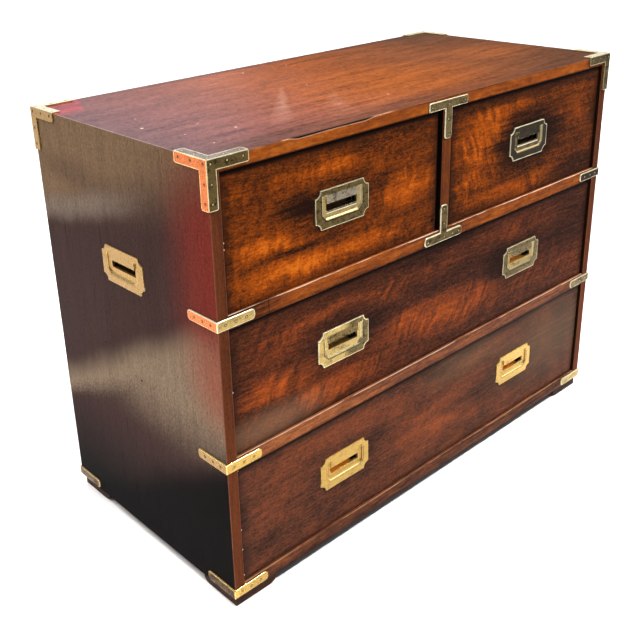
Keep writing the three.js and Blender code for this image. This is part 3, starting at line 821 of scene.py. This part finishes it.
def pull_brass(name, left, right, tongue, dish, slot, lip_level):
    """Brass of a flush pull: both ends of its plate, its tongue and its dish, each partly tarnish and partly
    painted reflection, with painted shade and highlights round the dish and painted light and shadow in the
    cup behind its slot.
    """
    low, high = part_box(name)
    middle = (low + high) / 2
    inward, sideways, face = BACK, RIGHT, low
    if name == "side_pull_left":
        inward, sideways = RIGHT, FRONT
    if name == "side_pull_right":
        inward, sideways, face = LEFT, BACK, high
    tree = Tree("brass_" + name)
    place = tree.coordinate()
    layers = brass_layers(tree, place)
    colour, mottle, metallic = brass_tarnish_and_reflection(layers, left)
    depth = tree.vector("DOT_PRODUCT", tree.vector("SUBTRACT", place, face), inward)
    offset = tree.vector("SUBTRACT", place, middle)
    along = tree.vector("DOT_PRODUCT", offset, sideways)
    beside = abs(along)
    up = tree.split(offset)[2]
    # The plate's two ends, its tongue and its dish each have a look that is partly painted reflection
    other = brass_tarnish_and_reflection(layers, right)[0]
    colour = colour.mix(tree.span(along, -4 * MM, 18 * MM), other)
    tip = tree.span(up, 6.5 * MM, 8 * MM) * tree.fall(up, 19 * MM, 21 * MM)
    tip = tip * tree.fall(beside, 30 * MM, 32 * MM)
    colour = colour.mix(tip, brass_tarnish_and_reflection(layers, tongue)[0])
    bright = left in ("bright", "yellow")
    shade_paint = (0.22, 0.1, 0.02) if bright else (0.035, 0.028, 0.012)
    wall_highlight = (1.0, 0.84, 0.36) if bright else (0.5, 0.4, 0.19)
    # Painted shade beside the dish, whose corners are cut
    cut_corner = (47.5 * MM - beside + up) * 0.7
    reach = tree.least(39.5 * MM - beside, up + 16 * MM, 20 * MM - up, cut_corner)
    painted_shade = tree.fall(abs(reach + 1.5 * MM), 0.6 * MM, 1.7 * MM, 0.8)
    painted_shade = painted_shade * tree.fall(up, 12 * MM, 16 * MM)
    if name == "side_pull_left":
        painted_shade = painted_shade * tree.span(along, 20 * MM, 30 * MM, 1.0, 0.15)
    elif bright:
        painted_shade = painted_shade * tree.most(tree.span(along, 33 * MM, 37 * MM), 0.25)
    colour = colour.mix(painted_shade, shade_paint)
    floor = tree.span(depth, 0.3 * MM, 0.8 * MM)
    colour = colour.mix(floor, brass_tarnish_and_reflection(layers, dish)[0])
    if bright:
        ends = tree.span(beside, 31 * MM, 35 * MM, 0.0, 0.7)
        shade = tree.most(ends, tree.fall(abs(up + 8.5 * MM), 1.5 * MM, 3.0 * MM, 0.7))
        colour = colour.mix(floor * shade, (0.42, 0.22, 0.05))
    # A painted highlight on the dish's lower wall, and on its right wall for the duller pulls
    wall = floor * tree.fall(depth, 1.6 * MM, 2.1 * MM)
    lifted = tree.fall(up, -13 * MM, -11.5 * MM)
    if not bright:
        lifted = tree.most(lifted, tree.span(along, 34 * MM, 36 * MM))
    colour = colour.mix(wall * lifted, wall_highlight)
    # The lip below the slot: a dark roll of painted shade and a painted highlight on its arris
    lip = floor * tree.fall(beside, 29 * MM, 31 * MM)
    if lip_level:
        roll = within(up, lip_level * MM, -4 * MM)
        colour = colour.mix(lip * tree.span(roll, 0.0, 0.4 * MM), (0.06, 0.035, 0.015))
        arris = tree.fall(abs(up - (lip_level - 0.8) * MM), 0.5 * MM, 0.9 * MM, 0.9)
        colour = colour.mix(lip * arris, (0.95, 0.86, 0.7))
    # The plate's pale outer edge, partly rubbed wear and partly painted highlight
    if left in RUBBED_AND_HIGHLIT:
        size = high - low
        from_end = max(size.x, size.y) / 2 - beside
        from_top = size.z / 2 - abs(up)
        notch = tree.vector("LENGTH", tree.join(from_end, from_top)) - PULL_NOTCH
        edge = tree.least(from_end, from_top, notch)
        rub = tree.span(tree.noise(place, 50.0, 2.0), 0.3, 0.7, 0.9 * MM, 1.7 * MM)
        edge = tree.fall(edge, rub * 0.6, rub, 0.85)
        colour = colour.mix(edge, RUBBED_AND_HIGHLIT[left])
    # Behind the slot, the cup: painted light on most of it and a near black painted shadow at one end
    lit = tree.fall(along, 14 * MM, 22 * MM)
    cup = tree.blend(lit, (0.006, 0.004, 0.002), slot)
    inside = tree.span(depth, 5.6 * MM, 6.6 * MM)
    colour = colour.mix(inside, cup)
    metallic = metallic * tree.span(inside, 0.0, 1.0, 1.0, 0.1)
    if bright:
        metallic = metallic * (1.0 - wall * 0.7)
        # Painted shade inside the dish along one end wall
        line = floor * tree.fall(reach, 1.6 * MM, 2.8 * MM, 0.75)
        if name == "side_pull_left":
            line = line * tree.fall(along, 24 * MM, 32 * MM)
        else:
            line = line * tree.span(along, 33 * MM, 36 * MM)
        line = line * tree.fall(up, 12 * MM, 15 * MM)
        colour = colour.mix(line, (0.16, 0.07, 0.012))
    return finish_brass(tree, colour, mottle, metallic, layers, relief=0.2 if bright else 0.45)


# Assign the materials


def wear(node_name, material):
    frame["nodes"][node_name].material_slots[0].material = material


wear("top_panel", top_wood())
wear("side_panel_left", side_wood("side_left", (0.0, 8.0, 1.0), True))
wear("side_panel_right", side_wood("side_right", (0.0, 9.0, 1.0), False))
for number, name in enumerate(RAIL_LOOKS):
    wear(name, rail(name, (2.0 * number, 12.0, 0.0)))


def divider_gap_shade(tree, place, colour):
    """Painted shade on the narrow left face of the post, in the gap beside the drawer."""
    return colour.mix(facing(tree, LEFT), (0.007, 0.004, 0.003))


wear("divider_post", plain_board("divider", "z", "rail", 0.32, (0.0, 15.0, 0.0), specular=0.02, touch=divider_gap_shade))
wear("back_panel", plain_board("back", "x", "rail_pale", 0.4, (0.0, 17.0, 0.0), 0.35, 0.5))
foot_wood = plain_board("feet", "x", "rail_pale", 0.06, (0.0, 19.0, 0.0), 0.4, 0.4)
for side in ("left", "right"):
    for end in ("front", "back"):
        wear(f"foot_{end}_{side}", foot_wood)
lining_x = plain_board("lining_x", "x", "lining", 0.5, (0.0, 21.0, 0.0), 0.6, 0.55)
lining_y = plain_board("lining_y", "y", "lining", 0.5, (0.0, 23.0, 0.0), 0.6, 0.55)
for name in ("bottom_board", "dust_board_lower", "dust_board_upper"):
    wear(name, lining_x)
wear("drawer_partition", lining_y)
for drawer in FIGURE_PATCHES:
    wear(drawer + "_front", flame_front(drawer))
    wear(drawer + "_side_left", lining_y)
    wear(drawer + "_side_right", lining_y)
    wear(drawer + "_back", lining_x)
    wear(drawer + "_bottom", lining_y)

# For each plate: the looks of its front, its sides and its top, partly tarnish and partly painted reflection
PLATE_LOOKS = {
    "corner_bracket_front_left": ("olive", "peach", "dull_top"),
    "corner_bracket_front_right": ("olive", "bright", "top"),
    "corner_bracket_back_left": ("bright", "yellow", "top"),
    "corner_bracket_back_right": ("bright", "bright", "top"),
    "strap_upper_left": ("cream", "peach", "grey"),
    "strap_lower_left": ("bright", "yellow", "yellow"),
    "strap_bottom_left": ("bright", "brown", "yellow"),
    "strap_upper_right": ("dark", "bright", "grey"),
    "strap_lower_right": ("mid", "bright", "yellow"),
    "strap_bottom_right": ("cream", "bright", "yellow"),
    "strap_back_left": ("bright", "brown", "top"),
    "strap_back_right": ("bright", "bright", "top"),
    "tee_strap_top": ("mid", "mid", "top"),
    "tee_strap_rail": ("olive", "mid", "top"),
}
# For each pull: the looks of its plate's left and right ends, its tongue and its dish, partly tarnish and partly
# painted reflection, the painted lit colour of its cup, and the level of its lip
PULL_LOOKS = {
    "drawer_top_left_pull": ("olive", "olive", "grey", "cream", (0.1, 0.045, 0.015), -6.2),
    "drawer_top_right_pull": ("dark", "dark", "dark", "olive", (0.02, 0.014, 0.008), -5.4),
    "drawer_middle_pull_left": ("cream", "olive", "olive", "cream", (0.4, 0.22, 0.05), 0.0),
    "drawer_middle_pull_right": ("olive", "mid", "mid", "cream", (0.95, 0.5, 0.11), 0.0),
    "drawer_bottom_pull_left": ("bright", "bright", "bright", "bright", (1.0, 0.52, 0.09), 0.0),
    "drawer_bottom_pull_right": ("bright", "bright", "bright", "bright", (1.0, 0.46, 0.06), 0.0),
    "side_pull_left": ("yellow", "yellow", "yellow", "yellow", (0.04, 0.02, 0.008), 0.0),
    "side_pull_right": ("bright", "bright", "bright", "bright", (0.1, 0.05, 0.02), 0.0),
}
for name, states in PLATE_LOOKS.items():
    wear(name, plate_brass(name, *states))
for name, states in PULL_LOOKS.items():
    wear(name, pull_brass(name, *states))


def rim_brass(name, clean, worn, metallic):
    """The rubbed arrises of the plates, paler and smoother than their faces."""
    tree = Tree(name)
    place = tree.coordinate()
    patches, specks, scratches = brass_layers(tree, place)
    colour = tree.ramp(patches, [(0.35, clean), (0.65, worn)])
    rough = specks * 0.1 + 0.2
    return tree.finish(colour, rough, tree.bump(specks, 0.04 * MM, 0.4), metallic=metallic, specular=0.5)


PALE_RIM = rim_brass("brass_pale_rim", (1.0, 0.9, 0.62), (0.8, 0.66, 0.4), 0.5)
YELLOW_RIM = rim_brass("brass_yellow_rim", (0.82, 0.58, 0.22), (0.58, 0.37, 0.115), 0.8)


# Rounded edges


def smooth_shading():
    """A geometry node group that shades faces smooth, for the rounded edges."""
    group = bpy.data.node_groups.new("smooth_shading", "GeometryNodeTree")
    group.interface.new_socket("Geometry", in_out="INPUT", socket_type="NodeSocketGeometry")
    group.interface.new_socket("Geometry", in_out="OUTPUT", socket_type="NodeSocketGeometry")
    start = group.nodes.new("NodeGroupInput")
    smooth = group.nodes.new("GeometryNodeSetShadeSmooth")
    end = group.nodes.new("NodeGroupOutput")
    group.links.new(start.outputs[0], smooth.inputs["Geometry"])
    group.links.new(smooth.outputs[0], end.inputs[0])
    return group


SMOOTH = smooth_shading()


def round_edges(piece, width, segments, smooth_faces, rim=None):
    weld = piece.modifiers.new("weld", "WELD")
    weld.merge_threshold = 0.01 * MM
    planes = piece.modifiers.new("planes", "DECIMATE")
    planes.decimate_type = "DISSOLVE"
    planes.angle_limit = math.radians(1.0)
    bevel = piece.modifiers.new("bevel", "BEVEL")
    bevel.width = width
    bevel.segments = segments
    bevel.limit_method = "ANGLE"
    bevel.angle_limit = math.radians(25.0)
    if rim:
        piece.data.materials.append(rim)
        bevel.material = 1
    if smooth_faces:
        piece.modifiers.new("smooth", "NODES").node_group = SMOOTH
        piece.modifiers.new("normals", "WEIGHTED_NORMAL").keep_sharp = False


for name, node in frame["nodes"].items():
    if name in PULL_NODES:
        round_edges(node, 0.9 * MM, 2, True, YELLOW_RIM if PULL_LOOKS[name][0] in ("bright", "yellow") else PALE_RIM)
    elif name in BRACKET_NODES or name in STRAP_NODES or name in TEE_NODES:
        round_edges(node, 1.3 * MM, 2, True, YELLOW_RIM if PLATE_LOOKS[name][0] == "bright" else PALE_RIM)
    else:
        round_edges(node, 0.6 * MM, 2, False)


# Pins


PIN_RADIUS = 1.4 * MM
PIN_RISE = 0.4 * MM
PIN_RING = 2.3 * MM
PIN_SIDES = 12
ARM_WIDTH = 13 * MM
LEAF_STEPS = (57 * MM, 32 * MM, ARM_WIDTH / 2)
STRAP_STEPS = (14 * MM, 31 * MM, 49 * MM)
TEE_PINS = {
    "tee_strap_top": [(-40, 670.5), (-1, 670.5), (36.5, 671), (-1.6, 647.6), (0, 623)],
    "tee_strap_rail": [(-42, 458), (-3, 458), (18, 458), (34, 458), (-5, 505), (-4, 480.4)],
}


def pin_places(name):
    """The middle of each pin's foot on a plate's faces, with the face's direction."""
    low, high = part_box(name)
    left = "left" in name
    outer = low.x if left else high.x
    inwards = 1 if left else -1
    if name in TEE_NODES:
        return [(Vector((x * MM, low.y, z * MM)), Vector((0, -1, 0))) for x, z in TEE_PINS[name]]
    front = "back" not in name
    face = low.y if front else high.y
    backwards = 1 if front else -1
    places = []
    if name in STRAP_NODES:
        level = (low.z + high.z) / 2
        for step in STRAP_STEPS:
            places.append((Vector((outer + inwards * step, face, level)), Vector((0, -backwards, 0))))
            places.append((Vector((outer, face + backwards * step, level)), Vector((-inwards, 0, 0))))
        return places
    steps = [(far, ARM_WIDTH / 2) for far in LEAF_STEPS] + [(ARM_WIDTH / 2, far) for far in LEAF_STEPS[:2]]
    for first, second in steps:
        across, behind = outer + inwards * first, face + backwards * first
        places.append((Vector((across, face, high.z - second)), Vector((0, -backwards, 0))))
        places.append((Vector((outer, behind, high.z - second)), Vector((-inwards, 0, 0))))
        places.append((Vector((across, face + backwards * second, high.z)), Vector((0, 0, 1))))
    return places


def pin_heads(name, head, ring):
    """All pins of one plate as one mesh that rides with it: low domes, each in a thin dark ring."""
    mesh = bmesh.new()
    profile = [(PIN_RING, 0.02 * MM), (PIN_RADIUS, 0.02 * MM), (0.85 * PIN_RADIUS, 0.6 * PIN_RISE),
               (0.5 * PIN_RADIUS, 0.92 * PIN_RISE)]
    for foot, out in pin_places(name):
        turn = out.to_track_quat("Z", "Y")
        rings = []
        for radius, height in profile:
            angles = [2 * math.pi * step / PIN_SIDES for step in range(PIN_SIDES)]
            spots = [Vector((radius * math.cos(angle), radius * math.sin(angle), height)) for angle in angles]
            rings.append([mesh.verts.new(foot + turn @ spot) for spot in spots])
        for number, (outer, inner) in enumerate(zip(rings, rings[1:])):
            for step in range(PIN_SIDES):
                after = (step + 1) % PIN_SIDES
                side = mesh.faces.new((outer[step], outer[after], inner[after], inner[step]))
                side.material_index = 1 if number == 0 else 0
                side.smooth = number > 0
        crown = mesh.verts.new(foot + turn @ Vector((0, 0, PIN_RISE)))
        for step in range(PIN_SIDES):
            mesh.faces.new((rings[-1][step], rings[-1][(step + 1) % PIN_SIDES], crown)).smooth = True
    data = bpy.data.meshes.new(name + "_pins")
    mesh.to_mesh(data)
    mesh.free()
    data.materials.append(head)
    data.materials.append(ring)
    pins = bpy.data.objects.new(name + "_pins", data)
    bpy.context.scene.collection.objects.link(pins)
    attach(pins, frame["nodes"][name]["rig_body"])


def pin_materials(name, front_head, front_ring, side_head, side_ring):
    """Domes and the dirt round them, each with one colour on the front and one on the sides; on the domes the two
    differ as painted reflection.
    """
    made = []
    for part, front_paint, side_paint in (("head", front_head, side_head), ("ring", front_ring, side_ring)):
        tree = Tree(f"pin_{part}_{name}")
        layers = brass_layers(tree, tree.coordinate())
        share = tree.most(facing(tree, LEFT), facing(tree, RIGHT))
        colour = tree.blend(share, front_paint, side_paint)
        tone = 1.0 + swing(layers[1], 0.8)
        colour = tree.toned(colour, tone)
        made.append(finish_brass(tree, colour, 0.4, 0.8 if part == "head" else 0.1, layers, 0.32))
    return made


PIN_PAINTS = {
    "dull": ((0.56, 0.43, 0.19), (0.012, 0.008, 0.004), (0.3, 0.1, 0.03), (0.16, 0.05, 0.014)),
    "bright": ((0.36, 0.22, 0.065), (0.26, 0.15, 0.04), (0.12, 0.06, 0.02), (0.05, 0.022, 0.008)),
}
PIN_SETS = {name: pin_materials(name, *paints) for name, paints in PIN_PAINTS.items()}
for name in PLATE_LOOKS:
    pin_heads(name, *PIN_SETS["bright" if PLATE_LOOKS[name][0] == "bright" else "dull"])


# Floor, light and camera


def plain_floor():
    reach = 14.0
    mesh = bpy.data.meshes.new("floor")
    corners = [(-reach, -reach, 0.0), (reach, -reach, 0.0), (reach, reach, 0.0), (-reach, reach, 0.0)]
    mesh.from_pydata(corners, [], [(0, 1, 2, 3)])
    floor = bpy.data.objects.new("floor", mesh)
    bpy.context.scene.collection.objects.link(floor)
    tree = Tree("floor")
    tint = tree.noise(tree.coordinate(), 3.0, 2.0)
    colour = tree.ramp(tint, [(0.0, (0.88, 0.88, 0.87)), (1.0, (0.92, 0.92, 0.91))])
    floor.data.materials.append(tree.finish(colour, 0.8, specular=0.1))


def studio():
    for name, (power, colour, place, target, shape) in LIGHTS.items():
        spot = isinstance(shape, tuple)
        data = bpy.data.lights.new(name, "SPOT" if spot else "AREA")
        data.energy = power
        data.color = colour
        if spot:
            angle, data.spot_blend, data.shadow_soft_size = shape
            data.spot_size = math.radians(angle)
        else:
            data.size = shape
        light = bpy.data.objects.new(name, data)
        bpy.context.scene.collection.objects.link(light)
        light.location = place
        light.rotation_euler = (Vector(target) - Vector(place)).to_track_quat("-Z", "Y").to_euler()
        light.visible_glossy = name not in UNREFLECTED
    world = bpy.data.worlds.new("studio")
    world.use_nodes = True
    nodes, links = world.node_tree.nodes, world.node_tree.links
    direction = nodes.new("ShaderNodeSeparateXYZ")
    links.new(nodes.new("ShaderNodeTexCoord").outputs["Generated"], direction.inputs[0])
    ramp = nodes.new("ShaderNodeValToRGB")
    low, high = ramp.color_ramp.elements
    low.position, high.position = 0.22, 0.7
    low.color, high.color = (0.045, 0.05, 0.055, 1.0), (0.36, 0.39, 0.43, 1.0)
    links.new(direction.outputs["Z"], ramp.inputs[0])
    links.new(ramp.outputs["Color"], nodes["Background"].inputs["Color"])
    bpy.context.scene.world = world


def photo_camera():
    data = bpy.data.cameras.new("camera")
    data.sensor_width = SENSOR_WIDTH
    data.lens = FOCAL_PIXELS / PHOTO_SIZE * SENSOR_WIDTH
    data.shift_x = 0.5 - CENTRE_PIXEL[0] / PHOTO_SIZE
    data.shift_y = CENTRE_PIXEL[1] / PHOTO_SIZE - 0.5
    camera = bpy.data.objects.new("camera", data)
    bpy.context.scene.collection.objects.link(camera)
    up = CAMERA_BACK.cross(CAMERA_RIGHT).normalized()
    turn = Matrix((CAMERA_RIGHT, up, CAMERA_BACK)).transposed()
    camera.matrix_world = Matrix.Translation(CAMERA_PLACE) @ turn.to_4x4()
    bpy.context.scene.camera = camera


plain_floor()
studio()
photo_camera()
bpy.context.scene.view_settings.view_transform = "Standard"
